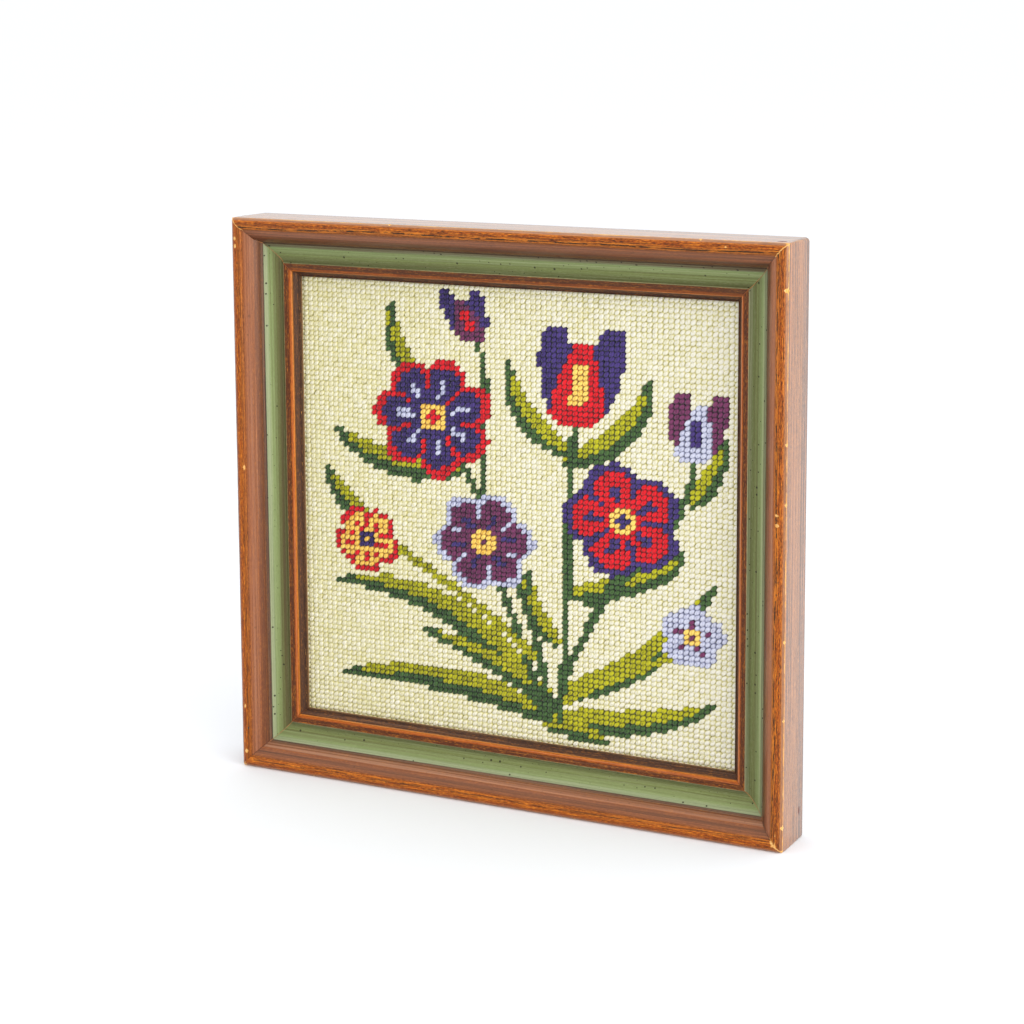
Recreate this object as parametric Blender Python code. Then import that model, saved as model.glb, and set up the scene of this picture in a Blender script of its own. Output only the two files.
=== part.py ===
# Needlepoint canvas panel in a mitred wooden picture frame, standing on its lower rail.
# Metres, +Z up. The stitched face looks along -Y. Origin: bottom centre of the whole.

import math
from collections import namedtuple

import bmesh
import bpy

MM = 0.001

# Driving dimensions
FRAME_WIDTH = 270 * MM
FRAME_HEIGHT = 260 * MM
FRAME_DEPTH = 28 * MM
PIECE_GAP = 0.3 * MM
CANVAS_THICKNESS = 2.3 * MM
BOARD_THICKNESS = 2.0 * MM
REBATE_CLEARANCE = 0.5 * MM
ARC_STEPS = 6

# Moulding outline in mm, from the outer edge over the front to the sight edge, then round the
# rebate and the back. "inward" is measured from the outer side, "back" from the crest's top.
# "bow" is how far the stretch to the next point bulges out of the wood; a minus is hollow.
Corner = namedtuple("Corner", "name inward back bow")
MOULDING = [
    Corner("outer edge", 0.0, 2.0, 0.0),
    Corner("chamfer top", 1.0, 1.0, 1.2),
    Corner("crest end", 5.3, 1.4, 1.0),
    Corner("slope foot", 11.8, 8.6, 0.0),
    Corner("quirk bottom", 12.0, 9.3, 0.0),
    Corner("cove start", 12.4, 9.1, -0.6),
    Corner("cove bottom", 19.2, 12.9, -0.35),
    Corner("ridge", 21.1, 11.7, 0.0),
    Corner("bead start", 23.6, 12.3, 0.4),
    Corner("bead end", 25.0, 13.4, -0.25),
    Corner("lip groove", 26.9, 15.9, 0.0),
    Corner("lip crest", 27.15, 15.6, 0.0),
    Corner("sight edge", 27.5, 16.0, 0.0),
    Corner("lip back", 27.5, 18.0, 0.0),
    Corner("rebate corner", 21.5, 18.0, 0.0),
    Corner("rebate back", 21.5, 28.0, 0.0),
    Corner("back edge", 2.5, 28.0, 0.73),
    Corner("side end", 0.0, 25.5, 0.0),
]

# Colours as linear RGB, with roughness
STAINED_WOOD = ((0.42, 0.17, 0.06), 0.45)
CREAM_WOOL = ((0.72, 0.70, 0.50), 0.9)
GREY_BOARD = ((0.36, 0.29, 0.21), 0.85)


def corner(name):
    return next(point for point in MOULDING if point.name == name)


def arc_points(start, end, bow):
    """Points from start up to, but not including, end on an arc that bows left of its chord."""
    if not bow:
        return [start]
    chord_x = end[0] - start[0]
    chord_y = end[1] - start[1]
    chord = math.hypot(chord_x, chord_y)
    radius = (chord * chord / 4 + bow * bow) / (2 * abs(bow))
    half_angle = math.asin(min(1.0, chord / (2 * radius)))
    points = []
    for step in range(ARC_STEPS):
        angle = half_angle * (2 * step / ARC_STEPS - 1)
        along = 0.5 + radius * math.sin(angle) / chord
        rise = radius * (math.cos(angle) - math.cos(half_angle)) * math.copysign(1, bow)
        points.append((start[0] + along * chord_x + rise * chord_y / chord,
                       start[1] + along * chord_y - rise * chord_x / chord))
    return points


def moulding_outline():
    """The moulding's closed section as (inward, back) pairs in metres."""
    outline = []
    for index, point in enumerate(MOULDING):
        following = MOULDING[(index + 1) % len(MOULDING)]
        outline += arc_points((point.inward, point.back),
                              (following.inward, following.back), point.bow)
    return [(inward * MM, back * MM) for inward, back in outline]


def add_object(name, bm, finish, location=(0, 0, 0), turn=0.0):
    bmesh.ops.recalc_face_normals(bm, faces=bm.faces)
    mesh = bpy.data.meshes.new(name)
    bm.to_mesh(mesh)
    bm.free()
    colour, roughness = finish
    material = bpy.data.materials.new(name + "_finish")
    material.use_nodes = True
    shader = material.node_tree.nodes["Principled BSDF"]
    shader.inputs["Base Color"].default_value = (*colour, 1)
    shader.inputs["Roughness"].default_value = roughness
    shader.inputs["Metallic"].default_value = 0.0
    mesh.materials.append(material)
    piece = bpy.data.objects.new(name, mesh)
    piece.location = location
    piece.rotation_euler = (0, turn, 0)
    bpy.context.scene.collection.objects.link(piece)


def add_rail(name, length, location, turn):
    """One mitred rail, modelled along X with its outer side down, then turned into place."""
    end_trim = PIECE_GAP / math.sqrt(2)
    bm = bmesh.new()
    section = [bm.verts.new((inward + end_trim - length / 2, back - FRAME_DEPTH / 2, inward))
               for inward, back in moulding_outline()]
    near_end = bm.faces.new(section)
    far_end = bmesh.ops.extrude_face_region(bm, geom=[near_end], use_keep_orig=True)
    for vertex in far_end["geom"]:
        if isinstance(vertex, bmesh.types.BMVert):
            vertex.co.x = length / 2 - vertex.co.z - end_trim
    add_object(name, bm, STAINED_WOOD, location, turn)


def add_frame():
    half_width = FRAME_WIDTH / 2
    half_height = FRAME_HEIGHT / 2
    add_rail("frame_bottom", FRAME_WIDTH, (0, 0, 0), 0)
    add_rail("frame_top", FRAME_WIDTH, (0, 0, FRAME_HEIGHT), math.pi)
    add_rail("frame_left", FRAME_HEIGHT, (-half_width, 0, half_height), math.pi / 2)
    add_rail("frame_right", FRAME_HEIGHT, (half_width, 0, half_height), -math.pi / 2)


def add_panel(name, front, thickness, finish):
    """A flat sheet that fills the rebate, with its front this far back from the crest."""
    rebate = corner("rebate back").inward * MM + REBATE_CLEARANCE
    width = FRAME_WIDTH - 2 * rebate
    height = FRAME_HEIGHT - 2 * rebate
    bm = bmesh.new()
    bmesh.ops.create_cube(bm, size=1)
    bmesh.ops.scale(bm, vec=(width, thickness, height), verts=bm.verts)
    middle = front + thickness / 2 - FRAME_DEPTH / 2
    add_object(name, bm, finish, (0, middle, FRAME_HEIGHT / 2))


def main():
    for leftover in list(bpy.context.scene.objects):
        bpy.data.objects.remove(leftover)
    add_frame()
    canvas_front = corner("lip back").back * MM + PIECE_GAP
    board_front = canvas_front + CANVAS_THICKNESS + PIECE_GAP
    add_panel("needlepoint_canvas", canvas_front, CANVAS_THICKNESS, CREAM_WOOL)
    add_panel("backing_board", board_front, BOARD_THICKNESS, GREY_BOARD)


main()
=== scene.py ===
# Framed needlepoint panel: wool tent stitches on canvas in a stained and painted mitred frame.
import math

import bmesh
import bpy
import numpy as np
from mathutils import Matrix, Vector, noise


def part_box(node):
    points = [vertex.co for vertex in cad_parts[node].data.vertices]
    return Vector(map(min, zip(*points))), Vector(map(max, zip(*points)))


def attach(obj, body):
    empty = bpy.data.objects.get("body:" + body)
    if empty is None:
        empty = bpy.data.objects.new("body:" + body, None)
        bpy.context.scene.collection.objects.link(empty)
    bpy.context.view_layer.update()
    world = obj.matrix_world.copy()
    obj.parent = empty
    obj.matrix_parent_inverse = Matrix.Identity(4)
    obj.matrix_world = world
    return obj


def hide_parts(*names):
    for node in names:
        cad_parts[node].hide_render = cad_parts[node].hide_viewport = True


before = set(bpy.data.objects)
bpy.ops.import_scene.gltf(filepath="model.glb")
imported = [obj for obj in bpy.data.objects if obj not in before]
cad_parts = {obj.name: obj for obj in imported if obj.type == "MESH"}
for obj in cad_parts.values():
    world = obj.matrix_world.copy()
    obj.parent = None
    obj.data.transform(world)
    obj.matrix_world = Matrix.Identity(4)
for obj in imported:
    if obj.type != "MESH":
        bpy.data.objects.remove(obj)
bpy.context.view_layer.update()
print("frame loaded:", sorted(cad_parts))

mm = 0.001
panel = {"width": 270.0, "height": 260.0, "depth": 28.0}  # mm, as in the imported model


# Node helpers

def tint(red, green, blue, alpha=1.0):
    # a colour as seen on screen, 0 to 255, made linear for the shaders
    linear = [c / 255 / 12.92 if c <= 10 else ((c / 255 + 0.055) / 1.055) ** 2.4
              for c in (red, green, blue)]
    return (*linear, alpha)


class Wire:
    # a node socket that sums can be written with
    def __init__(self, tree, socket):
        self.tree = tree
        self.socket = socket

    def node(self, kind, settings=None, inputs=None, output=0):
        made = self.tree.nodes.new(kind)
        for name, value in (settings or {}).items():
            if name == "stops":
                ramp = made.color_ramp
                while len(ramp.elements) < len(value):
                    ramp.elements.new(1.0)
                for element, (position, colour) in zip(ramp.elements, value):
                    element.position = position
                    element.color = colour
            else:
                setattr(made, name, value)
        for name, value in (inputs or {}).items():
            if isinstance(value, Wire):
                self.tree.links.new(value.socket, made.inputs[name])
            else:
                made.inputs[name].default_value = value
        return Wire(self.tree, made.outputs[output])

    def other(self, output):
        return Wire(self.tree, self.socket.node.outputs[output])

    def attribute(self, name):
        return self.node("ShaderNodeAttribute", {"attribute_name": name}, output="Fac")

    def maths(self, operation, *others):
        return self.node("ShaderNodeMath", {"operation": operation}, dict(enumerate((self, *others))))

    def __add__(self, value):
        return self.maths("ADD", value)

    def __sub__(self, value):
        return self.maths("SUBTRACT", value)

    def __rsub__(self, value):
        return self.node("ShaderNodeMath", {"operation": "SUBTRACT"}, {0: value, 1: self})

    def __mul__(self, value):
        return self.maths("MULTIPLY", value)

    def __truediv__(self, value):
        return self.maths("DIVIDE", value)

    def __pow__(self, value):
        return self.maths("POWER", value)

    __radd__ = __add__
    __rmul__ = __mul__

    def step(self, low, high):
        # 0 below low, 1 above high, smooth between; works downwards too
        return self.node("ShaderNodeMapRange", {"interpolation_type": "SMOOTHSTEP"},
                         {"Value": self, "From Min": low, "From Max": high})

    def mix(self, first, second, blend="MIX"):
        # first where this wire is 0, second where it is 1
        return self.node("ShaderNodeMix", {"data_type": "RGBA", "blend_type": blend},
                         {0: self, 6: first, 7: second}, output=2)

    def noise(self, scale, detail=3.0, roughness=0.55, distortion=0.0):
        return self.node("ShaderNodeTexNoise", {}, {"Vector": self, "Scale": scale, "Detail": detail,
                                                    "Roughness": roughness, "Distortion": distortion})

    def stretch(self, *factors):
        return self.node("ShaderNodeVectorMath", {"operation": "MULTIPLY"}, {0: self, 1: factors})


def newMaterial(name, **constants):
    material = bpy.data.materials.new(name)
    material.use_nodes = True
    tree = material.node_tree
    shader = tree.nodes["Principled BSDF"]
    for key, value in constants.items():
        shader.inputs[key.replace("_", " ")].default_value = value
    return material, Wire(tree, shader.outputs[0]), shader


def connect(wire, shader, name):
    wire.tree.links.new(wire.socket, shader.inputs[name])


def bumpNormal(wire, height, distance, strength):
    return wire.node("ShaderNodeBump", {}, {"Height": height, "Distance": distance, "Strength": strength})


def finishMesh(bm, name):
    mesh = bpy.data.meshes.new(name)
    bm.to_mesh(mesh)
    bm.free()
    return mesh


def addPiece(name, mesh, material):
    piece = bpy.data.objects.new(name, mesh)
    bpy.context.scene.collection.objects.link(piece)
    mesh.materials.append(material)
    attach(piece, "root")
    return piece


# Moulding: the outline of one rail, mm in from the outer face and back from the crest plane.
# The third number is how far the stretch to the next point bulges, the fourth how far the corner is eased.
moulding = {
    "outline": [
        ("outerEdge", 0.0, 2.0, 0.0, 0.45),
        ("chamferTop", 1.0, 1.0, 1.2, 0.2),
        ("crestEnd", 5.3, 1.4, 1.0, 0.35),
        ("slopeFoot", 11.8, 8.6, 0.0, 0.2),
        ("quirkBottom", 12.0, 9.3, 0.0, 0.1),
        ("coveStart", 12.4, 9.1, -0.6, 0.15),
        ("coveBottom", 19.2, 12.9, -0.35, 0.0),
        ("ridge", 21.1, 11.7, 0.0, 0.25),
        ("beadStart", 23.6, 12.3, 0.4, 0.0),
        ("beadEnd", 25.0, 13.4, -0.25, 0.15),
        ("lipGroove", 26.9, 15.9, 0.0, 0.1),
        ("lipCrest", 27.15, 15.6, 0.0, 0.12),
        ("sightEdge", 27.5, 16.0, 0.0, 0.15),
        ("lipBack", 27.5, 18.0, 0.0, 0.15),
        ("rebateCorner", 21.5, 18.0, 0.0, 0.1),
        ("rebateBack", 21.5, 28.0, 0.0, 0.3),
        ("backEdge", 2.5, 28.0, 0.73, 0.0),
        ("sideEnd", 0.0, 25.5, 0.0, 0.0),
        ("sideMiddle", 0.0, 12.0, 0.0, 0.0),
        ("sideFront", 0.0, 4.6, 0.0, 0.0),
        ("sideRim", 0.0, 3.1, 0.0, 0.0),
    ],
    "arcSteps": 7,
    "cutsAlong": 150,
    "mitreTrim": 0.03,  # mm, so that a hairline stays open between two rails
    "edgeRubAndHighlight": {"bottom": 0.25, "top": 1.15, "left": 0.3, "right": 1.1},  # how worn the outer front edge is; on the top rail partly a painted highlight where the arris catches the light
    "lipRub": {"bottom": 0.12, "top": 0.3, "left": 0.35, "right": 0.1},  # and the lip at the opening
    "paintedShadingAt": [  # corner, mm past it, for the painted shading below
        ("outerEdge", 0.3), ("chamferTop", 0.8), ("chamferTop", 2.2), ("crestEnd", -1.0),
        ("crestEnd", 1.3), ("crestEnd", 3.3), ("crestEnd", 5.5), ("slopeFoot", -2.0),
        ("slopeFoot", -0.5), ("coveStart", 0.6), ("coveStart", 1.6), ("coveStart", 2.1),
        ("coveStart", 2.8), ("coveBottom", -0.8), ("ridge", -0.15), ("ridge", 0.3),
        ("beadStart", -0.2), ("beadStart", 0.8), ("beadEnd", 0.5), ("backEdge", 1.0),
        ("sideEnd", 5.0), ("sideEnd", 7.0), ("sideRim", 0.0),
    ],
    "tone": {  # painted shade and painted light per rail, for how the light falls on each: darker above 0, paler below, at the places above
        "bottom": (-0.8, 0.2, -0.14, 0.24, 0.4, 0.58, -0.4, -0.08, -0.28, 0.0, 0.0, 0.0, 0.08, 0.0, -0.05,
                   0.1, 0.1, -0.06, 0.0, 0.0, 0.0, 0.0, 0.0),
        "top": (-0.5, -0.1, 0.2, 0.34, 0.42, 0.38, 0.84, 0.42, 0.44, 0.8, 0.6, 0.1, -0.1, 0.08, 0.0,
                0.5, 0.56, 0.4, 0.1, 0.08, 0.0, 0.0, 0.0),
        "left": (0.5, 0.12, 0.02, 0.5, 0.0, -0.06, 0.1, 0.3, -0.12, -0.1, -0.1, -0.05, -0.05, 0.6, 0.2,
                 0.15, 0.15, -0.12, 0.3, 0.0, 0.0, 0.0, 0.0),
        "right": (-0.35, 0.2, 0.16, -0.08, -0.14, 0.16, 0.66, 0.12, 0.0, 0.5, 0.35, -0.45, 0.0, 0.3, -0.45,
                  0.3, 0.35, -0.3, 0.3, 0.1, 0.15, -0.08, -0.1),
    },
    # how much open dark grain the crest shows
    "lively": {"bottom": 0.5, "top": 1.0, "left": 0.25, "right": 1.0},
    "mitreWear": {  # mm bare beside the joint at the tip and further in, mm that this is short of the crest's end
        "topLeft": (0.24, 0.24, 1.2), "topRight": (0.34, 0.30, 1.2), "bottomLeft": (0.10, 0.0, 1.2),
        "bottomRight": (0.12, 1.3, 2.9),
    },
    # mm, at the back corners
    "rounded": {"topLeft": 4.6, "topRight": 2.2, "bottomLeft": 0.8, "bottomRight": 0.8},
    "chips": [  # rail, height or distance across in mm, half length, reach over the front
        ("right", 240.4, 1.5, 2.0), ("right", 11.2, 1.3, 1.2), ("right", 176.0, 0.9, 0.8),
        ("right", 150.6, 1.1, 0.9), ("right", 92.0, 1.0, 0.9), ("right", 58.0, 0.9, 0.7),
        ("left", 133.0, 0.9, 0.7), ("top", -52.0, 1.0, 0.8), ("top", 96.0, 0.9, 0.7),
        ("bottom", -96.0, 1.0, 0.8), ("bottom", 38.0, 1.1, 0.8),
    ],
    "nicks": [  # rail, height or distance across, mm in from the outer face, half length, half width
        ("right", 146.3, 3.7, 0.5, 0.85), ("right", 142.0, 3.4, 0.7, 0.9), ("right", 8.0, 2.6, 1.6, 0.3),
        ("left", 250.5, 2.5, 0.8, 0.6), ("left", 246.9, 2.6, 1.0, 0.6), ("left", 143.9, 4.7, 1.3, 0.35),
        ("left", 29.6, 2.9, 1.0, 0.5), ("left", 7.8, 3.1, 0.9, 0.8), ("top", 108.0, 2.6, 1.2, 0.3),
        ("bottom", -133.6, 0.9, 0.9, 0.9),
    ],
}
rails = {  # turn about Y, middle of the outer face in mm, length
    "bottom": (0.0, (0.0, 0.0), panel["width"]),
    "top": (math.pi, (0.0, panel["height"]), panel["width"]),
    "left": (math.pi / 2, (-panel["width"] / 2, panel["height"] / 2), panel["height"]),
    "right": (-math.pi / 2, (panel["width"] / 2, panel["height"] / 2), panel["height"]),
}


def arcPoints(start, end, bow, steps):
    # points from start up to, but not including, end, on an arc that bulges left of its chord
    if not bow:
        return [start]
    chordX, chordY = end[0] - start[0], end[1] - start[1]
    chord = math.hypot(chordX, chordY)
    radius = (chord * chord / 4 + bow * bow) / (2 * abs(bow))
    half = math.asin(min(1.0, chord / (2 * radius)))
    points = []
    for step in range(steps):
        angle = half * (2 * step / steps - 1)
        along = 0.5 + radius * math.sin(angle) / chord
        rise = radius * (math.cos(angle) - math.cos(half)) * math.copysign(1, bow)
        points.append((start[0] + along * chordX + rise * chordY / chord,
                       start[1] + along * chordY - rise * chordX / chord))
    return points


def easeCorner(before, corner, after, reach):
    # four points that round a corner
    corner = Vector(corner)
    toBefore, toAfter = Vector(before) - corner, Vector(after) - corner
    start = corner + toBefore.normalized() * min(reach, 0.4 * toBefore.length)
    end = corner + toAfter.normalized() * min(reach, 0.4 * toAfter.length)
    return [tuple((1 - t) ** 2 * start + 2 * t * (1 - t) * corner + t * t * end)
            for t in (0, 1 / 3, 2 / 3, 1)]


def mouldingOutline():
    # the section's points, how far round each is, and how far round each named corner is
    outline = moulding["outline"]
    rough, eases, names = [], [], []
    for index, (name, inward, back, bow, ease) in enumerate(outline):
        following = outline[(index + 1) % len(outline)]
        stretch = arcPoints((inward, back), following[1:3], bow, moulding["arcSteps"])
        rough += stretch
        eases += [ease] + [0.0] * (len(stretch) - 1)
        names += [name] + [None] * (len(stretch) - 1)
    points, marks = [], []
    for index, corner in enumerate(rough):
        before, after = rough[index - 1], rough[(index + 1) % len(rough)]
        fresh = easeCorner(before, corner, after, eases[index]) if eases[index] else [corner]
        points += fresh
        marks += [names[index]] * len(fresh)
    shift = points.index(min(points[:4], key=lambda p: abs(p[0] - p[1] + 2)))
    points, marks = points[shift:] + points[:shift], marks[shift:] + marks[:shift]
    around, reached = [], 0.0
    for index, point in enumerate(points):
        around.append(reached)
        reached += math.dist(point, points[(index + 1) % len(points)])
    corners = {}
    for name in {mark for mark in marks if mark}:
        places = [place if place < reached - 2 or name != "outerEdge" else place - reached
                  for place, mark in zip(around, marks) if mark == name]
        corners[name] = sum(places) / len(places)
    return points, around, corners, reached


sectionPoints, sectionAround, cornerAt, sectionLength = mouldingOutline()
print("moulding outline:", len(sectionPoints), "points,", round(sectionLength, 1), "mm round")


cornerOf = {("bottom", 1): "bottomRight", ("bottom", -1): "bottomLeft", ("top", 1): "topLeft",
            ("top", -1): "topRight", ("left", 1): "bottomLeft", ("left", -1): "topLeft",
            ("right", 1): "topRight", ("right", -1): "bottomRight"}


def wearRail(name, position, around, joint, chips, nicks):
    # how far a point of a rail is worn inwards in mm, and how bare its wood is, from 0 to 1
    inward, back, along = position
    seed = {"bottom": 0.0, "top": 40.0, "left": 80.0, "right": 120.0}[name]
    past = around - cornerAt["outerEdge"]  # above 0 over the front, below 0 on the side
    if past > sectionLength / 2:
        past -= sectionLength
    worn, bare = 0.0, 0.0
    if abs(past) < 3.0:
        coarse = noise.noise(Vector((along * 0.045 + seed, 3.1, 0.0)))
        fine = noise.noise(Vector((along * 0.35 + seed, 7.7, 0.0)))
        worn += 0.1 * max(0.0, 1 - abs(past) / 0.75) * max(0.0, coarse + 0.6 * fine + 0.3)
        rubbed = max(0.0, 1 - abs(past + 0.05) / 0.42) * (0.7 + 0.5 * coarse + 0.4 * fine)
        # bare wood rubbed along the outer arris, on the top rail partly a painted highlight
        bare += moulding["edgeRubAndHighlight"][name] * rubbed
        for centre, halfLength, reach in chips:
            cut = 1 - abs(along - centre) / halfLength - (past / reach if past > 0 else -past / 0.5)
            if cut > -0.2:
                worn = max(worn, 0.26 * reach * max(0.0, cut))
                bare = max(bare, min(1.0, 0.8 + 3 * cut))
    for centre, inside, halfLength, halfWidth in nicks:
        cut = 1 - math.hypot((along - centre) / halfLength, (inward - inside) / halfWidth)
        if cut > -0.8 and around < cornerAt["crestEnd"] + 0.3:
            worn = max(worn, 0.14 * max(0.0, cut))
            bare = max(bare, min(1.1, 0.56 + 0.8 * cut))
    lip = 1 - abs(around - cornerAt["lipCrest"]) / 0.45
    if lip > 0:
        patchy = 0.8 + 1.4 * noise.noise(Vector((along * 0.3, 2.2, seed)))
        bare = max(bare, lip * moulding["lipRub"][name] * patchy)
    if 0 < around < cornerAt["crestEnd"] + 0.6:
        worn += 0.07 * max(0.0, noise.noise(Vector((along * 0.22 + seed, around * 0.5, 5.0))))
        tip, inner, short = moulding["mitreWear"][cornerOf[name, 1 if along > 0 else -1]]
        widest = cornerAt["crestEnd"] - short
        mitreWear = float(np.interp(around, (0.0, widest - 1.2, widest, widest + 1.7),
                                    (tip, min(tip, inner), inner, 0.8 * inner * 1.2 / short)))
        if joint < mitreWear * 2:
            ragged = noise.noise(Vector((along * 0.7, around * 0.8, seed)))
            bare = max(bare, 0.9 + 0.9 * ragged - 0.62 * joint / mitreWear)
    if past < -0.4 and around > cornerAt["sideEnd"] - 3 and joint < 1.2:
        worn += 0.22 * max(0.0, 1 - joint / 0.9)
        bare = max(bare, 0.5 + 0.4 * noise.noise(Vector((back * 0.5, seed, 2.0))) - joint / 1.1)
    if abs(past) < 1.3 and joint < 1.2:
        worn += 0.22 * max(0.0, 1 - joint / 1.2)
        bare = max(bare, 1.2 - joint / 1.1 - abs(past) / 1.6)
    return worn, max(0.0, min(1.1, bare))


def roundCorner(name, inward, back, along, length):
    # how far a point near a back corner moves in and along, in mm, to round that corner off
    radius = moulding["rounded"][cornerOf[name, 1 if along > 0 else -1]]
    radius *= max(0.0, (back - 12) / (panel["depth"] - 12)) ** 1.4
    beside = length / 2 - abs(along)
    if inward > 2.6 or beside >= radius:
        return 0.0, 0.0
    reached = max(beside, radius * (1 - math.sqrt(0.5)))
    drop = radius - math.sqrt(radius * radius - (radius - reached) ** 2)
    return drop, max(0.0, reached - beside)


def buildRail(name, turn, middle, length, order):
    trim = moulding["mitreTrim"] / math.sqrt(2)
    bm = bmesh.new()
    aroundLayer = bm.verts.layers.float.new("around")
    jointLayer = bm.verts.layers.float.new("joint")
    bareLayer = bm.verts.layers.float.new("bare")
    paintedShadingLayer = bm.verts.layers.float.new("tone")
    livelyLayer = bm.verts.layers.float.new("lively")
    grain = bm.loops.layers.uv.new("grain")
    nearEnd = []
    for (inward, back), around in zip(sectionPoints, sectionAround):
        vert = bm.verts.new((inward + trim - length / 2, back - panel["depth"] / 2, inward))
        vert[aroundLayer] = around
        nearEnd.append(vert)
    face = bm.faces.new(nearEnd)
    grown = bmesh.ops.extrude_face_region(bm, geom=[face], use_keep_orig=True)
    for vert in (item for item in grown["geom"] if isinstance(item, bmesh.types.BMVert)):
        vert.co.x = length / 2 - vert.co.z - trim
    bmesh.ops.recalc_face_normals(bm, faces=bm.faces)
    longEdges = [edge for edge in bm.edges
                 if abs(edge.verts[0].co.x - edge.verts[1].co.x) > length / 2]
    bmesh.ops.subdivide_edges(bm, edges=longEdges, cuts=moulding["cutsAlong"])
    signs = {"bottom": 1, "top": -1, "left": -1, "right": 1}
    offset = 0 if name in ("bottom", "top") else panel["height"] / 2
    chips, nicks = ([((row[1] - offset) * signs[name], *row[2:]) for row in moulding[kind] if row[0] == name]
                    for kind in ("chips", "nicks"))
    cuts = [(centre, row[0]) for centre, *row in chips] + [(centre, row[1]) for centre, *row in nicks]
    for place in (centre + share * halfLength for centre, halfLength in cuts for share in (-1, 0, 1)):
        bmesh.ops.bisect_plane(bm, geom=bm.verts[:] + bm.edges[:] + bm.faces[:], dist=1e-5,
                               plane_co=(place, 0, 0), plane_no=(1, 0, 0))
    for side in (-1, 1):  # two more rings beside each mitre, for its worn arris
        for inset in (0.45, 1.1):
            bmesh.ops.bisect_plane(bm, geom=bm.verts[:] + bm.edges[:] + bm.faces[:], dist=1e-5,
                                   plane_co=(side * (length / 2 - inset * math.sqrt(2)), 0, 0),
                                   plane_no=Vector((side, 0, 1)).normalized())
    # painted shading per rail, at each point round the section
    paintedShadingAt = [cornerAt[corner] + past for corner, past in moulding["paintedShadingAt"]]
    for vert in bm.verts:
        inward, back, along = vert.co.z, vert.co.y + panel["depth"] / 2, vert.co.x
        joint = (length / 2 - abs(along) - inward) / math.sqrt(2)
        worn, bare = wearRail(name, (inward, back, along), vert[aroundLayer], joint, chips, nicks)
        vert[jointLayer] = joint
        vert[bareLayer] = bare
        vert[livelyLayer] = moulding["lively"][name]
        vert[paintedShadingLayer] = float(np.interp(vert[aroundLayer], paintedShadingAt, moulding["tone"][name]))
        if worn:
            onEdge = vert[aroundLayer] < 0.9 or inward < 0.4
            towards = Vector((0.0, 1.0, 1.0 if onEdge else 0.25)).normalized()
            vert.co += towards * worn
            if joint < 4:
                vert.co.x -= math.copysign(towards.z * worn, along)
        drop, shift = roundCorner(name, inward, back, along, length)
        vert.co.z += drop
        vert.co.x -= math.copysign(shift, along)
    for face in bm.faces:
        places = [loop.vert[aroundLayer] for loop in face.loops]
        wraps = max(places) - min(places) > sectionLength / 2
        capped = len(face.verts) > 8
        for loop, place in zip(face.loops, places):
            if wraps and place < sectionLength / 2:
                place += sectionLength
            if capped:
                place = cornerAt["rebateBack"] - 3
            loop[grain].uv = (loop.vert.co.x / 1000 + order * 0.7, place / sectionLength)
        face.smooth = not capped
    for edge in bm.edges:
        if any(len(face.verts) > 8 for face in edge.link_faces):
            edge.smooth = False
    bm.transform(Matrix.Translation((middle[0] * mm, 0, middle[1] * mm)) @ Matrix.Rotation(turn, 4, "Y")
                 @ Matrix.Scale(mm, 4))
    return finishMesh(bm, name + "Rail")


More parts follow.
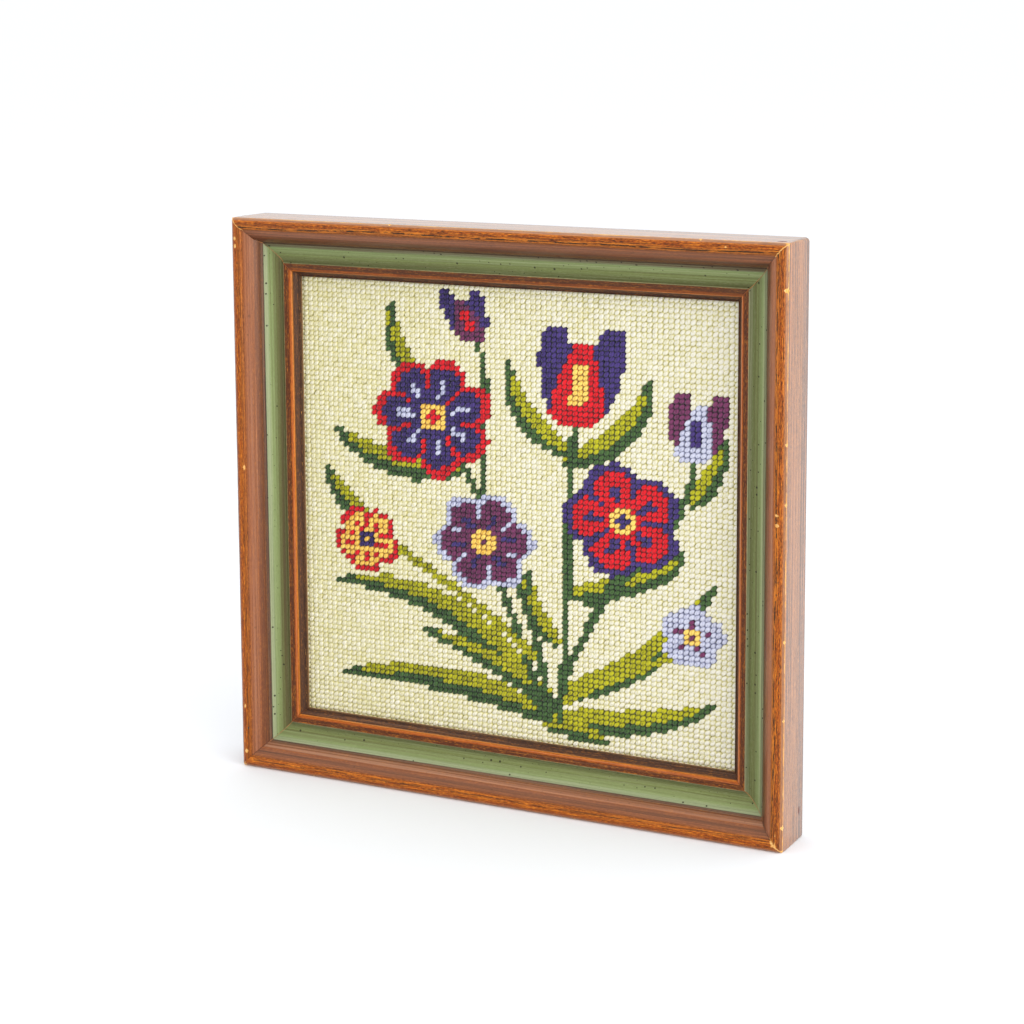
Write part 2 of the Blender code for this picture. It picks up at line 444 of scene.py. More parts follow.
# Wood finish, placed by how far round the section a point is
woodFinish = {
    "front": [  # corner, mm past it, colour, roughness
        ("outerEdge", 0.0, (130, 86, 58), 0.40),
        ("chamferTop", -0.1, (112, 66, 40), 0.42),
        ("chamferTop", 0.25, (186, 100, 32), 0.42),
        ("chamferTop", 0.9, (152, 67, 10), 0.42),
        ("crestEnd", -1.1, (158, 72, 10), 0.42),
        ("crestEnd", -0.3, (192, 100, 22), 0.42),
        ("crestEnd", 0.1, (124, 58, 20), 0.40),
        ("crestEnd", 0.6, (146, 82, 46), 0.36),
        ("crestEnd", 2.8, (142, 86, 60), 0.34),
        ("crestEnd", 4.7, (134, 76, 46), 0.36),
        ("crestEnd", 4.95, (164, 92, 46), 0.38),
        ("crestEnd", 5.2, (118, 62, 36), 0.38),
        ("slopeFoot", -1.2, (98, 54, 34), 0.38),
        ("slopeFoot", -0.9, (92, 66, 54), 0.40),
        ("slopeFoot", -0.2, (76, 56, 52), 0.45),
        ("quirkBottom", -0.05, (44, 38, 42), 0.6),
        # the green cove: a paler band of glaze along its outer strip, standing partly for a painted highlight
        ("quirkBottom", 0.2, (142, 152, 116), 0.5),
        ("coveStart", 1.6, (134, 148, 108), 0.44),
        ("coveStart", 2.2, (122, 140, 88), 0.46),
        ("coveBottom", -3.0, (116, 130, 80), 0.47),
        ("coveBottom", -2.6, (86, 98, 54), 0.5),
        ("coveBottom", -2.2, (110, 124, 70), 0.47),
        ("ridge", -1.3, (86, 96, 56), 0.5),
        ("ridge", -0.35, (98, 104, 66), 0.5),
        ("ridge", -0.15, (150, 152, 108), 0.5),
        ("ridge", 0.1, (82, 32, 10), 0.42),
        ("beadStart", -0.1, (74, 26, 6), 0.42),
        ("beadStart", 0.2, (160, 70, 8), 0.4),
        ("beadEnd", -0.55, (182, 94, 24), 0.4),
        # a pale line along the bead's rounded edge, partly wear and partly a painted highlight
        ("beadEnd", -0.25, (230, 142, 50), 0.4),
        ("beadEnd", 0.2, (72, 48, 42), 0.5),
        ("lipGroove", -0.3, (46, 32, 30), 0.55),
    ],
    "rear": [
        ("sightEdge", 0.4, (44, 28, 24), 0.6),
        ("lipBack", 0.3, (196, 160, 116), 0.75),
        ("backEdge", -0.8, (198, 162, 118), 0.75),
        ("backEdge", 1.4, (112, 84, 70), 0.42),
        ("sideEnd", 5.2, (118, 86, 66), 0.38),
        ("sideEnd", 6.4, (143, 94, 52), 0.38),
        ("sideRim", 0.5, (138, 90, 48), 0.38),
    ],
    "marks": [  # corner, mm past it, share of streaks, specks, pores and wax
        ("outerEdge", 0.0, (0.5, 0.1, 0.1, 0.5)),
        ("chamferTop", 0.1, (0.5, 0.15, 0.1, 0.2)),
        ("chamferTop", 0.4, (1.0, 0.5, 0.4, 0.1)),
        ("crestEnd", -2.6, (1.0, 0.5, 0.5, 0.1)),
        ("crestEnd", -1.8, (1.0, 0.5, 1.0, 0.1)),
        ("crestEnd", -1.0, (1.0, 0.5, 0.4, 0.1)),
        ("crestEnd", 0.1, (0.8, 0.25, 0.0, 0.15)),
        ("crestEnd", 0.5, (0.22, 0.3, 0.0, 0.35)),
        ("slopeFoot", -0.4, (0.25, 0.3, 0.0, 0.3)),
        ("quirkBottom", 0.1, (0.12, 1.0, 0.0, 0.15)),
        ("ridge", -0.2, (0.15, 1.0, 0.0, 0.1)),
        ("ridge", 0.1, (0.6, 0.2, 0.1, 0.1)),
        ("beadEnd", 0.0, (0.4, 0.15, 0.1, 0.1)),
        ("lipBack", 0.2, (0.25, 0.0, 0.0, 0.0)),
        ("backEdge", 0.0, (0.25, 0.0, 0.0, 0.0)),
        ("sideEnd", 0.0, (0.6, 0.04, 0.1, 1.0)),
        ("sideEnd", 20.0, (0.75, 0.06, 0.15, 1.0)),
    ],
    "mitres": [  # corner, mm past it, colour of the joint line, its half width in mm
        ("outerEdge", 0.0, (140, 84, 38), 0.08),
        ("crestEnd", -0.3, (112, 60, 26), 0.08),
        ("crestEnd", 0.5, (96, 54, 34), 0.10),
        ("slopeFoot", -2.4, (96, 60, 42), 0.10),
        ("slopeFoot", -0.5, (186, 118, 66), 0.15),
        ("coveStart", 0.2, (150, 122, 88), 0.13),
        ("ridge", -0.8, (164, 116, 66), 0.16),
        ("ridge", 0.3, (134, 66, 24), 0.14),
        ("lipCrest", 0.0, (100, 54, 28), 0.10),
        ("lipBack", 0.0, (110, 80, 56), 0.08),
        ("backEdge", 0.0, (110, 80, 56), 0.08),
        ("sideEnd", 0.0, (96, 60, 44), 0.07),
        ("sideEnd", 23.0, (150, 96, 60), 0.08),
    ],
    "bareWood": (216, 152, 72), "paleWood": (236, 194, 128), "specks": (26, 30, 24),
    "darkGrain": (58, 22, 10), "lightGrain": (232, 140, 28),
    # the worn and rubbed colours on the next line are the pales of long grain bands, and also painted light where
    # a rail's painted shading is below 0
    "worn": (202, 112, 30), "rubbed": (196, 150, 120),
    "oldGlaze": (52, 44, 32), "paleGlaze": (184, 184, 150),
    # the first colour on the next line is the dark of long grain bands, and also painted shade where a rail's
    # painted shading is above 0
    "darkBandsAndShade": (66, 40, 28), "glow": (226, 132, 36),
}


def rampStops(rows, colourOf):
    # ramp stops from rows that start with a corner's name and the mm past it
    return sorted(((min(1.0, max(0.0, (cornerAt[row[0]] + row[1]) / sectionLength)), colourOf(row))
                   for row in rows), key=lambda stop: stop[0])


def makeWood():
    material, wire, shader = newMaterial("mouldingFinish", Specular_IOR_Level=0.4, Coat_Roughness=0.26,
                                         Specular_Tint=(0.95, 0.66, 0.42, 1.0))
    uv = wire.node("ShaderNodeUVMap", {"uv_map": "grain"})
    parts = wire.node("ShaderNodeSeparateXYZ", {}, {"Vector": uv})
    along, around = parts, parts.other("Y")
    alongMm, aroundMm = along * 1000, around * sectionLength
    flat = wire.node("ShaderNodeCombineXYZ", {}, {"X": alongMm, "Y": aroundMm})
    # bare wood, distance from the joint, painted shading per rail, and how lively the grain is
    bare, joint, tone, lively = (wire.attribute(name) for name in ("bare", "joint", "tone", "lively"))

    def ramp(part, place, colourOf=lambda row: tint(*row[2], alpha=row[3])):
        return wire.node("ShaderNodeValToRGB", {"stops": rampStops(woodFinish[part], colourOf)},
                         {"Fac": place})

    def past(corner):
        return aroundMm - cornerAt[corner]

    sway = flat.stretch(0.05, 0.35, 1).noise(1.0, 2.0)
    onSlope = past("crestEnd").step(-2.0, 1.0) * past("slopeFoot").step(-0.8, -4.0)
    wander = flat.stretch(0.012, 0.02, 1).noise(1.0, 1.0)
    swayed = around + ((sway - 0.5) * 0.3 + (wander - 0.5) * onSlope * 2.6) / sectionLength
    front, rear = ramp("front", swayed), ramp("rear", swayed)
    behind = past("sightEdge").step(0.1, 0.4)
    base = behind.mix(front, rear)
    marks = ramp("marks", around, lambda row: row[2])
    shares = wire.node("ShaderNodeSeparateColor", {}, {"Color": marks})
    streakShare, speckShare, poreShare = shares, shares.other("Green"), shares.other("Blue")
    painted = past("quirkBottom").step(-0.05, 0.1) * past("ridge").step(0.05, -0.1)

    # fine open grain of dark and light dashes, and long soft bands beside it
    raggedness = flat.noise(0.9, 3.0)
    drift = flat.stretch(0.01, 0.1, 1).noise(1.0, 2.0)
    warped = wire.node("ShaderNodeCombineXYZ", {}, {"X": alongMm, "Y": aroundMm + drift * 1.4})
    band = warped.stretch(0.006, 1.3, 1).noise(1.0, 2.0)
    grain = warped.stretch(0.09, 3.6, 1).noise(1.0, 2.0, 0.6)
    fleck = warped.stretch(0.55, 3.0, 1).noise(1.0, 2.0, 0.65)
    mottle = grain * 0.5 + fleck * 0.5
    onCrest = past("chamferTop").step(0.0, 0.6) * past("crestEnd").step(0.1, -0.3)
    calm = onCrest * (1 - lively)
    dark = mottle.step(0.50, 0.575) * (1 - calm * 0.55)
    light = mottle.step(0.49, 0.39)
    colour = (dark * streakShare * 0.95).mix(base, painted.mix(tint(*woodFinish["darkGrain"]),
                                                               tint(*woodFinish["oldGlaze"])))
    colour = (light * streakShare * 0.7).mix(colour, painted.mix(tint(*woodFinish["lightGrain"]),
                                                                 tint(*woodFinish["paleGlaze"])))
    onSide = past("backEdge").step(-0.5, 0.5)
    bands = (band - 0.5) * (1.6 - painted * 0.3 + behind * 0.6 + onSide * 3.4)
    # long grain bands darker, and painted shade per rail where its painted shading is above 0
    colour = (bands + tone).mix(colour, tint(*woodFinish["darkBandsAndShade"]))
    # long grain bands paler, and painted light per rail where its painted shading is below 0
    rubbed = streakShare.step(0.4, 0.9).mix(tint(*woodFinish["rubbed"]), tint(*woodFinish["worn"]))
    colour = (bands * -0.7 - tone).mix(colour, painted.mix(rubbed, tint(*woodFinish["paleGlaze"])))

    # short open pores that hold dark wax, in patches
    patch = flat.stretch(0.025, 0.1, 1).noise(1.0, 2.0).step(0.36, 0.5)
    pores = warped.stretch(0.13, 1.7, 1).noise(1.0, 3.0, 0.65).step(0.515, 0.56) * patch * poreShare
    colour = (pores * (0.4 + lively * 0.55)).mix(colour, tint(30, 16, 14))

    # one wandering line of long dark dashes along the crest, with bare orange beside it
    vein = past("crestEnd") + 1.6 - (flat.stretch(0.014, 0.0, 1).noise(1.0, 1.0) - 0.5) * 4.0
    beside = (vein - (raggedness - 0.5) * 0.9).maths("ABSOLUTE")
    dashes = flat.stretch(0.15, 0.5, 1).noise(1.0, 3.0, 0.6).step(0.43, 0.50)
    flares = flat.stretch(0.09, 2.2, 1).noise(1.0, 3.0).step(0.44, 0.56)
    glow = beside.step(1.25, 0.6) * flares * onCrest * lively
    colour = (glow * 0.6).mix(colour, tint(*woodFinish["glow"]))
    colour = (beside.step(0.5, 0.2) * dashes * onCrest * lively * 0.95).mix(colour, tint(26, 14, 14))

    # dark flicked specks of a few sizes
    spots = flat.node("ShaderNodeTexVoronoi", {"feature": "F1", "voronoi_dimensions": "2D"},
                      {"Vector": flat, "Scale": 0.21})
    pick = wire.node("ShaderNodeSeparateColor", {}, {"Color": spots.other("Color")})
    size = (pick.other("Green") ** 2.2) * 0.085 + 0.03
    crowd = flat.stretch(0.02, 0.02, 1).noise(1.0, 1.0).step(0.35, 0.65) * 0.45
    chosen = (pick + crowd - speckShare * 0.35).step(0.44, 0.40)
    speck = (spots - size).step(0.018, -0.018) * chosen * speckShare
    colour = (speck * 0.9).mix(colour, tint(*woodFinish["specks"]))

    # the mitre's fine line, then wood laid bare
    seam = ramp("mitres", around)
    width = seam.other("Alpha") * (0.35 + raggedness * 1.3)
    line = (joint / width).step(1.3, 0.8) * (raggedness.step(0.36, 0.46) * 0.45 + 0.55)
    colour = line.mix(colour, seam)
    bareMask = (bare + (fleck - 0.5) * 1.3).step(0.36, 0.60)
    bared = fleck.step(0.6, 0.4).mix(tint(*woodFinish["bareWood"]), tint(*woodFinish["paleWood"]))
    colour = bareMask.mix(colour, bared)
    connect(colour, shader, "Base Color")

    connect(marks.other("Alpha") - (bareMask + dark * streakShare * 0.3), shader, "Coat Weight")
    rough = behind.mix(front.other("Alpha"), rear.other("Alpha"))
    connect(rough + dark * 0.05 + bareMask * 0.18 + speck * 0.1, shader, "Roughness")
    height = mottle * streakShare * -0.8 + band * -0.1 + pores * -1.2 + bareMask * -0.5 + line * -0.4
    connect(bumpNormal(wire, height, 0.00012, 0.6), shader, "Normal")
    return material


mouldingFinish = makeWood()
for order, (name, (turn, middle, length)) in enumerate(rails.items()):
    rail = addPiece(name + "Rail", buildRail(name, turn, middle, length, order), mouldingFinish)
    even = rail.modifiers.new("evenNormals", "WEIGHTED_NORMAL")
    even.keep_sharp = True
    even.weight = 60
    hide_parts("frame_" + name)
    print(name, "rail:", len(rail.data.polygons), "faces")


# Wax plugs over the joining nails: on top near the right corner, low on the right side, low on the left crest
nailPlugs = {
    "top": ((130.4, -8.0, 260.0), (2.1, 0.9, 0.12)),
    "side": ((135.0, 7.4, 13.0), (0.12, 0.65, 1.8)),
    "front": ((-130.9, -13.55, 19.0), (0.55, 0.3, 0.55)),
    "tints": {"top": (104, 26, 24), "side": (104, 26, 24), "front": (34, 24, 22)},
}


def buildPlug(name):
    place, size = nailPlugs[name]
    bm = bmesh.new()
    bmesh.ops.create_uvsphere(bm, u_segments=16, v_segments=10, radius=1.0)
    for vert in bm.verts:
        wobble = 1 + 0.12 * noise.noise(vert.co * 1.7 + Vector(place))
        vert.co = Vector([vert.co[axis] * size[axis] * wobble for axis in range(3)]) + Vector(place)
    bm.transform(Matrix.Scale(mm, 4))
    for face in bm.faces:
        face.smooth = True
    return finishMesh(bm, name + "NailPlug")


def makeWax(name):
    material, wire, shader = newMaterial(name + "NailWax", Specular_IOR_Level=0.5)
    place = wire.node("ShaderNodeTexCoord", output="Object")
    mottle = place.noise(1500.0, 3.0)
    connect(mottle.mix(tint(*nailPlugs["tints"][name]), tint(52, 20, 18)), shader, "Base Color")
    connect(mottle * 0.2 + 0.4, shader, "Roughness")
    connect(bumpNormal(wire, mottle, 0.00008, 0.5), shader, "Normal")
    return material


for name in ("top", "side", "front"):
    addPiece(name + "NailPlug", buildPlug(name), makeWax(name))
print("nail plugs placed")


# Stitch chart: a generic bunch of stylised garden flowers, set out in stitches from the lower left
stitchery = {
    "columns": 85, "rows": 89,
    "stems": [  # yarn, width in stitches, then the way points
        ("darkGreen", 1.5, (49, 4), (47, 26), (37, 46), (27, 60)),
        ("darkGreen", 1.5, (51, 4), (53, 30), (52, 48), (54, 62)),
        ("darkGreen", 1.4, (50, 6), (54, 22), (62, 32), (65, 42)),
        ("darkGreen", 1.6, (48, 4), (44, 18), (40, 28), (37, 36)),
        ("lime", 1.7, (46, 16), (36, 26), (22, 32), (14, 38)),
        ("darkGreen", 1.2, (56, 28), (66, 34), (76, 46), (76, 58)),
        ("lime", 1.7, (52, 8), (60, 14), (70, 18), (76, 22)),
        ("darkGreen", 1.2, (36, 48), (36, 64), (38, 72), (34, 79)),
    ],
    "blades": [  # width in stitches, then root, bend and tip
        (4.6, (47, 5), (30, 12), (7, 8)),
        (5.0, (47, 8), (30, 30), (6, 27)),
        (4.2, (50, 5), (68, 4), (80, 11)),
        (4.4, (52, 10), (70, 16), (80, 34)),
        (3.6, (49, 8), (41, 14), (24, 19)),
        (3.4, (50, 20), (43, 27), (45, 33)),
        (3.6, (54, 30), (72, 34), (74, 40)),
        (4.6, (30, 52), (16, 50), (6, 58)),
        (4.2, (53, 56), (66, 60), (68, 72)),
        (4.0, (52, 58), (42, 62), (41, 74)),
        (3.4, (24, 68), (16, 76), (18, 84)),
        (3.2, (76, 50), (80, 54), (82, 62)),
        (3.2, (13, 40), (6, 44), (4, 50)),
        (3.0, (49, 3), (56, 3), (60, 1)),
    ],
    "rounds": [  # centre, radius, petals, turn, then the yarns of body, rim, streak, heart and eye
        ((26, 62), 12.2, 7, 0.35, "purple", "red", "lilac", "yellow", "red"),
        ((63, 45), 11.4, 5, 0.60, "red", "purple", "purple", "yellow", "purple"),
        ((36, 38), 10.2, 6, 0.15, "plum", "lilac", "purple", "yellow", "plum"),
        ((12, 36), 6.8, 5, 0.90, "yellow", "red", "red", "purple", "yellow"),
        ((76, 24), 6.2, 5, 0.20, "lilac", "lilac", "plum", "yellow", "plum"),
    ],
    "cups": [  # foot, height, half width, lean, then the yarns of middle petal, side petals and flame
        ((54, 63), 18.0, 8.0, 0.10, "red", "purple", "yellow"),
        ((34, 78), 9.0, 4.4, -0.30, "plum", "purple", "red"),
        ((76, 58), 12.0, 5.2, 0.12, "lilac", "plum", "purple"),
    ],
}


def curvePoint(points, at):
    # a point on the smooth curve that the way points steer
    while len(points) > 1:
        points = [(a[0] + (b[0] - a[0]) * at, a[1] + (b[1] - a[1]) * at) for a, b in zip(points, points[1:])]
    return points[0]


def fillDisc(chart, centre, radius, pick):
    reach = math.ceil(radius)
    column, row = round(centre[0]), round(centre[1])
    for i in range(column - reach, column + reach + 1):
        for j in range(row - reach, row + reach + 1):
            across, up = i - centre[0], j - centre[1]
            yarn = pick(across, up) if across * across + up * up <= radius * radius else None
            if yarn:
                chart[i, j] = yarn


def stitchStem(chart, yarn, width, *points):
    for step in range(161):
        fillDisc(chart, curvePoint(points, step / 160), width / 2, lambda across, up: yarn)


def stitchBlade(chart, width, *points):
    # a leaf that is lime along its upper edge and dark along its lower one, with a dark tip
    for step in range(121):
        at = step / 120
        ahead, behind = curvePoint(points, min(1, at + 0.01)), curvePoint(points, max(0, at - 0.01))
        run, rise = ahead[0] - behind[0], ahead[1] - behind[1]
        half = width / 2 * math.sin(math.pi * (0.08 + 0.92 * at) ** 0.8) ** 0.75 + 0.45

        def shade(across, up):
            side = (run * up - rise * across) / (math.hypot(run, rise) + 1e-6) * math.copysign(1, run)
            return "darkGreen" if side < -0.15 * half or at > 0.93 else "lime"
        fillDisc(chart, curvePoint(points, at), half, shade)


def stitchRound(chart, centre, radius, petals, turn, body, rim, streak, heart, eye):
    def pick(across, up):
        lobe = abs(math.cos(petals * (math.atan2(up, across) - turn) / 2))
        edge = radius * (0.74 + 0.26 * lobe ** 0.6)
        distance = math.hypot(across, up)
        if distance > edge:
            return None
        if distance < radius * 0.24:
            return eye if distance < radius * 0.09 else heart
        if distance > 0.84 * edge or (lobe < 0.24 and distance > 0.4 * edge):
            return rim
        return streak if lobe > 0.93 and 0.3 < distance / edge < 0.62 else body
    fillDisc(chart, centre, radius, pick)


def stitchCup(chart, foot, height, half, lean, middle, side, flame):
    # a tulip: a pointed middle petal between two that part above it
    for i in range(stitchery["columns"]):
        for j in range(foot[1], min(stitchery["rows"], int(foot[1] + height) + 1)):
            level = (j - foot[1]) / height
            across = abs(i - foot[0] - lean * (j - foot[1]))
            outer = half * math.sin(math.pi * min(1, 0.12 + 0.62 * level)) ** 0.7
            inner = half * 0.62 * (1 - level ** 3) * (1.15 - 0.5 * level)
            gap = half * 0.9 * max(0, level - 0.55)
            if across > outer + gap * 0.35:
                continue
            if level < 0.88 and across < inner:
                chart[i, j] = flame if across < 0.16 * half + 0.3 and 0.18 < level < 0.62 else middle
            elif across > gap * 1.1:
                chart[i, j] = side


def stitchChart():
    chart = {}
    for key, draw in (("blades", stitchBlade), ("stems", stitchStem),
                      ("cups", stitchCup), ("rounds", stitchRound)):
        for row in stitchery[key]:
            draw(chart, *row)
    return chart


# Tent stitches: one slanted pad of wool over each crossing of the canvas, repeated by arrays
tentStitch = {
    "pitchAcross": 2.529, "pitchUp": 2.303,  # mm
    "slant": 46.0,  # degrees from level
    "halfLength": 2.0, "halfWidth": 1.22, "halfThick": 1.2, "dip": 0.5,  # mm
    "strands": ((0.0, 0.86), (0.58, 0.76), (1.0, 0.0)),  # the section: how far across and how high, as shares
    "spreadAcross": 1.04, "spreadUp": 0.97,  # so that the rows part more than the columns do
    "front": 4.3,  # mm behind the middle plane of the frame, where the wool stands highest
    "canvasFront": 5.85,  # mm behind the same plane
    "turnJitter": 9.0, "placeJitter": 0.13, "sizeJitter": 0.08,
    "seed": 4217,
}
yarns = {  # shadowed colour, lit colour, and the painted shade deep in the holes between stitches
    "ecru": ((209, 202, 154), (231, 227, 212), (214, 206, 136)),
    "purple": ((26, 14, 58), (72, 55, 122), (10, 6, 28)),
    "red": ((158, 2, 16), (228, 20, 36), (92, 0, 10)),
    "yellow": ((214, 160, 54), (250, 218, 112), (160, 106, 26)),
    "lilac": ((150, 152, 182), (208, 210, 228), (104, 108, 138)),
    "plum": ((62, 20, 50), (122, 56, 96), (30, 8, 26)),
    "lime": ((118, 116, 4), (188, 184, 26), (66, 66, 4)),
    "darkGreen": ((28, 50, 22), (72, 104, 54), (10, 24, 10)),
}


def stitchPad():
    # one stitch as arrays: points, corner lists and the twist map; long along z, thick along y
    bm = bmesh.new()
    twist = bm.loops.layers.uv.new("twist")
    bmesh.ops.create_uvsphere(bm, u_segments=8, v_segments=6, radius=1.0, calc_uvs=True)
    bm.verts.index_update()
    points = np.array([vert.co[:] for vert in bm.verts])
    corners = [[vert.index for vert in face.verts] for face in bm.faces]
    maps = [loop[twist].uv[:] for face in bm.faces for loop in face.loops]
    bm.free()
    return points, corners, np.array(maps)


def sewStitches(name, cells, draws):
    points, corners, maps = stitchPad()
    cells = np.array(cells, float)
    count, per = len(cells), len(points)
    slant = np.radians(tentStitch["slant"] + tentStitch["turnJitter"] * draws[:, 0])
    size = 1 + tentStitch["sizeJitter"] * draws[:, 1:4]
    girth = np.hypot(points[:, 0], points[:, 1])
    turned = points[:, 0] / np.maximum(girth, 1e-6)
    shares, heights = np.array(tentStitch["strands"]).T
    high = -girth * np.interp(abs(turned), (0.0, math.sqrt(0.5), 1.0), heights)
    wide = girth * np.sign(turned) * np.interp(abs(turned), (0.0, math.sqrt(0.5), 1.0), shares)
    high = np.where(points[:, 1] < -1e-4, high, points[:, 1])
    along = points[None, :, 2] * tentStitch["halfLength"] * size[:, 0:1]
    across = wide[None, :] * tentStitch["halfWidth"] * size[:, 1:2]
    across = across * (1 + 0.1 * points[None, :, 2] ** 2)  # plumper than an egg
    thick = tentStitch["halfThick"] * (1 + 0.5 * (size[:, 2:3] - 1))
    deep = high[None, :] * thick + tentStitch["dip"] * points[None, :, 2] ** 2
    deep = deep + tentStitch["front"] + tentStitch["halfThick"] * heights.max() + 0.1 + 0.12 * draws[:, 6:7]
    sine, cosine = np.sin(slant)[:, None], np.cos(slant)[:, None]
    fromMiddle = cells - [(stitchery["columns"] - 1) / 2, (stitchery["rows"] - 1) / 2]
    stray = tentStitch["placeJitter"]
    middleX = fromMiddle[:, 0:1] * tentStitch["pitchAcross"] + stray * draws[:, 4:5]
    middleZ = fromMiddle[:, 1:2] * tentStitch["pitchUp"] + stray * draws[:, 5:6]
    level = (across * sine + along * cosine) * tentStitch["spreadAcross"]
    upright = (along * sine - across * cosine) * tentStitch["spreadUp"]
    place = np.stack([middleX + level, deep, middleZ + upright + panel["height"] / 2], axis=2) * mm
    sizes = np.array([len(face) for face in corners])
    flatCorners = np.concatenate([np.array(face) for face in corners])
    allCorners = (flatCorners[None, :] + np.arange(count)[:, None] * per).ravel()
    starts = np.concatenate([[0], np.cumsum(np.tile(sizes, count))[:-1]])
    mesh = bpy.data.meshes.new(name)
    mesh.vertices.add(count * per)
    mesh.vertices.foreach_set("co", place.ravel().astype(np.float32))
    mesh.loops.add(len(allCorners))
    mesh.loops.foreach_set("vertex_index", allCorners.astype(np.int32))
    mesh.polygons.add(count * len(sizes))
    mesh.polygons.foreach_set("loop_start", starts.astype(np.int32))
    mesh.polygons.foreach_set("use_smooth", np.ones(count * len(sizes), bool))
    mesh.update(calc_edges=True)
    uv = mesh.uv_layers.new(name="twist")
    uv.data.foreach_set("uv", np.tile(maps.ravel(), count).astype(np.float32))
    shade = mesh.attributes.new("shade", "FLOAT", "POINT")
    shade.data.foreach_set("value", np.repeat(draws[:, 7], per).astype(np.float32))
    return mesh


def makeYarn(name, shadowed, lit, deep):
    material, wire, shader = newMaterial(name + "Wool", Specular_IOR_Level=0.3, Sheen_Weight=0.2,
                                         Sheen_Roughness=0.5)
    uv = wire.node("ShaderNodeUVMap", {"uv_map": "twist"})
    parts = wire.node("ShaderNodeSeparateXYZ", {}, {"Vector": uv})
    plies = (parts * 3 + parts.other("Y") * 2.5).maths("FRACT")
    groove = (plies - 0.5).maths("ABSOLUTE").step(0.5, 0.1)
    place = wire.node("ShaderNodeTexCoord", output="Object")
    fibre = place.stretch(1.0, 1.0, 0.45).noise(5200.0, 3.0, 0.7)
    fuzz = place.noise(900.0, 2.0, 0.6)
    batch = place.noise(60.0, 2.0)
    across = wire.node("ShaderNodeSeparateXYZ", {}, {"Vector": place})
    # painted shade in the holes between stitches, set by how far back the wool lies
    holeShade = (across.other("Y") * 1000 + (fuzz - 0.5) * 0.8).step(4.6, 5.3)
    light = wire.attribute("shade") * 0.16 + 0.45 + (batch - 0.5) * 0.3
    light = light + groove * 0.28 + (fibre - 0.5) * 0.5 + (fuzz - 0.5) * 1.5
    # darker towards the left, paler towards the right, across the panel's width
    colour = (light + across * 1.9).step(0.0, 1.0).mix(tint(*shadowed), tint(*lit))
    connect((holeShade * 0.85).mix(colour, tint(*deep)), shader, "Base Color")
    connect(fibre * 0.15 + 0.8, shader, "Roughness")
    connect(bumpNormal(wire, groove * 0.6 + fibre * 0.4 + fuzz * 0.8, 0.00026, 0.8), shader, "Normal")
    return material


def makeCanvas():
    material, wire, shader = newMaterial("canvasThread", Specular_IOR_Level=0.2)
    place = wire.node("ShaderNodeTexCoord", output="Object")
    parts = wire.node("ShaderNodeSeparateXYZ", {}, {"Vector": place})
    warp = (parts * (math.pi * 2 / (tentStitch["pitchAcross"] * mm))).maths("COSINE")
    weft = (parts.other("Z") * (math.pi * 2 / (tentStitch["pitchUp"] * mm))).maths("COSINE")
    thread = warp.maths("MAXIMUM", weft).step(-0.6, 0.7)
    fibre = place.noise(3000.0, 3.0)
    connect(thread.mix(tint(176, 164, 100), tint(220, 208, 150)), shader, "Base Color")
    connect(fibre * 0.2 + 0.75, shader, "Roughness")
    connect(bumpNormal(wire, thread + fibre * 0.3, 0.0003, 0.8), shader, "Normal")
    return material


def buildCanvas():
    # a flat sheet whose edges reach in under the lip
    low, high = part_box("needlepoint_canvas")
    front, back = tentStitch["canvasFront"] * mm, high.y
    bm = bmesh.new()
    bmesh.ops.create_grid(bm, x_segments=45, y_segments=43, size=0.5)
    for vert in bm.verts:
        vert.co = Vector((vert.co.x * (high.x - low.x), back,
                          (low.z + high.z) / 2 - vert.co.y * (high.z - low.z)))
    grown = bmesh.ops.extrude_face_region(bm, geom=bm.faces[:], use_keep_orig=True)
    for vert in (item for item in grown["geom"] if isinstance(item, bmesh.types.BMVert)):
        vert.co.y = front + 0.00004 * noise.noise(vert.co * 60)
    bmesh.ops.recalc_face_normals(bm, faces=bm.faces)
    return finishMesh(bm, "needlepointCanvas")


chart = stitchChart()
draws = np.random.RandomState(tentStitch["seed"])
byYarn = {}
for column in range(-1, stitchery["columns"] + 1):
    for row in range(-1, stitchery["rows"] + 1):
        inside = 0 <= column < stitchery["columns"] and 0 <= row < stitchery["rows"]
        yarn = chart.get((column, row), "ecru") if inside else "ecru"
        third = min(2, max(0, row) * 3 // stitchery["rows"])
        part = ("Low", "Middle", "Top")[third] if yarn == "ecru" else ""
        byYarn.setdefault((yarn, part), []).append((column, row))
wool = {name: makeYarn(name, *colours) for name, colours in yarns.items()}
for (yarn, part), cells in sorted(byYarn.items()):
    mesh = sewStitches(yarn + "Stitches" + part, cells, draws.uniform(-1, 1, (len(cells), 8)))
    addPiece(mesh.name, mesh, wool[yarn])
    print(mesh.name, len(cells), "stitches")
canvas = addPiece("needlepointCanvas", buildCanvas(), makeCanvas())
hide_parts("needlepoint_canvas")


# Backing board: plain pulp board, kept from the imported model
def makeBoard():
    material, wire, shader = newMaterial("pulpBoard", Specular_IOR_Level=0.2)
    place = wire.node("ShaderNodeTexCoord", output="Object")
    cloud = place.noise(35.0, 4.0)
    flecks = place.stretch(1.0, 1.0, 0.4).noise(900.0, 4.0, 0.8)
    colour = cloud.mix(tint(134, 112, 88), tint(166, 144, 116))
    colour = (flecks.step(0.56, 0.66) * 0.55).mix(colour, tint(92, 72, 54))
    colour = (flecks.step(0.42, 0.34) * 0.45).mix(colour, tint(198, 180, 150))
    connect(colour, shader, "Base Color")
    connect(flecks * 0.2 + 0.72, shader, "Roughness")
    connect(bumpNormal(wire, flecks, 0.0002, 0.5), shader, "Normal")
    return material


boardMesh = bpy.data.objects["backing_board"].data
boardMesh.materials.clear()
boardMesh.materials.append(makeBoard())
print("canvas and board dressed")


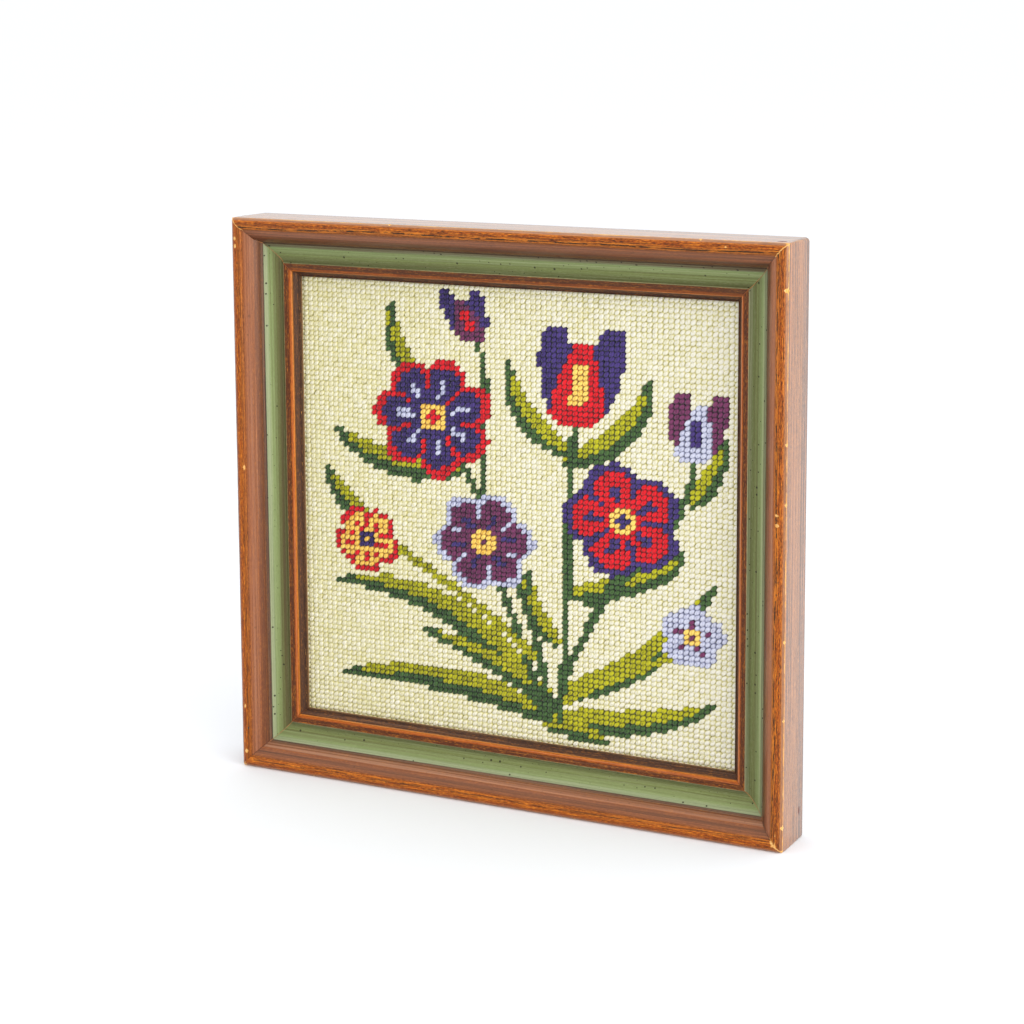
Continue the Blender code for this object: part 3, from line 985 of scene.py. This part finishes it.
# Studio: pale floor, broad soft light, and the camera of the photograph
studio = {
    "floorRadius": 60.0, "floorTint": (237, 240, 244),
    "sky": 1.17,
    "lights": [  # name, place in m, size in m, power in W
        ("key", (0.9, -1.0, 1.9), 1.0, 9.0),
        ("side", (1.9, -0.6, 0.45), 0.9, 17.0),
    ],
    "cameraPlace": (0.4934, -0.9816, 0.3750),
    "cameraBack": (0.46358, -0.87319, 0.15041), "cameraRoll": -0.5054,
    "lens": 88.75, "shift": (0.0586, -0.1631),
}


def buildFloor():
    bm = bmesh.new()
    bmesh.ops.create_circle(bm, cap_ends=True, segments=64, radius=studio["floorRadius"])
    mesh = finishMesh(bm, "studioFloor")
    floor = bpy.data.objects.new("studioFloor", mesh)
    bpy.context.scene.collection.objects.link(floor)
    material, wire, shader = newMaterial("paperFloor", Specular_IOR_Level=0.1, Roughness=0.95)
    shader.inputs["Base Color"].default_value = tint(*studio["floorTint"])
    mesh.materials.append(material)


def hangLights():
    middle = Vector((0, 0, 0.13))
    for name, place, size, power in studio["lights"]:
        lamp = bpy.data.lights.new(name + "Light", "AREA")
        lamp.shape = "SQUARE"
        lamp.size = size
        lamp.energy = power
        light = bpy.data.objects.new(name + "Light", lamp)
        light.location = place
        light.rotation_euler = (Vector(place) - middle).to_track_quat("Z", "Y").to_euler()
        bpy.context.scene.collection.objects.link(light)
    world = bpy.data.worlds.new("studioSky")
    world.use_nodes = True
    backdrop = world.node_tree.nodes["Background"]
    backdrop.inputs["Color"].default_value = (1, 1, 1, 1)
    backdrop.inputs["Strength"].default_value = studio["sky"]
    bpy.context.scene.world = world


def placeCamera():
    back = Vector(studio["cameraBack"]).normalized()
    right = (-back).cross(Vector((0, 0, 1))).normalized()
    up = right.cross(-back)
    roll = math.radians(studio["cameraRoll"])
    turnedRight = right * math.cos(roll) + up * math.sin(roll)
    turnedUp = up * math.cos(roll) - right * math.sin(roll)
    lens = bpy.data.cameras.new("photoCamera")
    lens.lens = studio["lens"]
    lens.sensor_width = 36
    lens.shift_x, lens.shift_y = studio["shift"]
    lens.clip_start, lens.clip_end = 0.05, 100
    camera = bpy.data.objects.new("photoCamera", lens)
    turn = Matrix((turnedRight, turnedUp, back)).transposed()
    camera.matrix_world = Matrix.Translation(studio["cameraPlace"]) @ turn.to_4x4()
    bpy.context.scene.collection.objects.link(camera)
    bpy.context.scene.camera = camera


buildFloor()
hangLights()
placeCamera()
bpy.context.scene.view_settings.view_transform = "Standard"
print("studio ready")
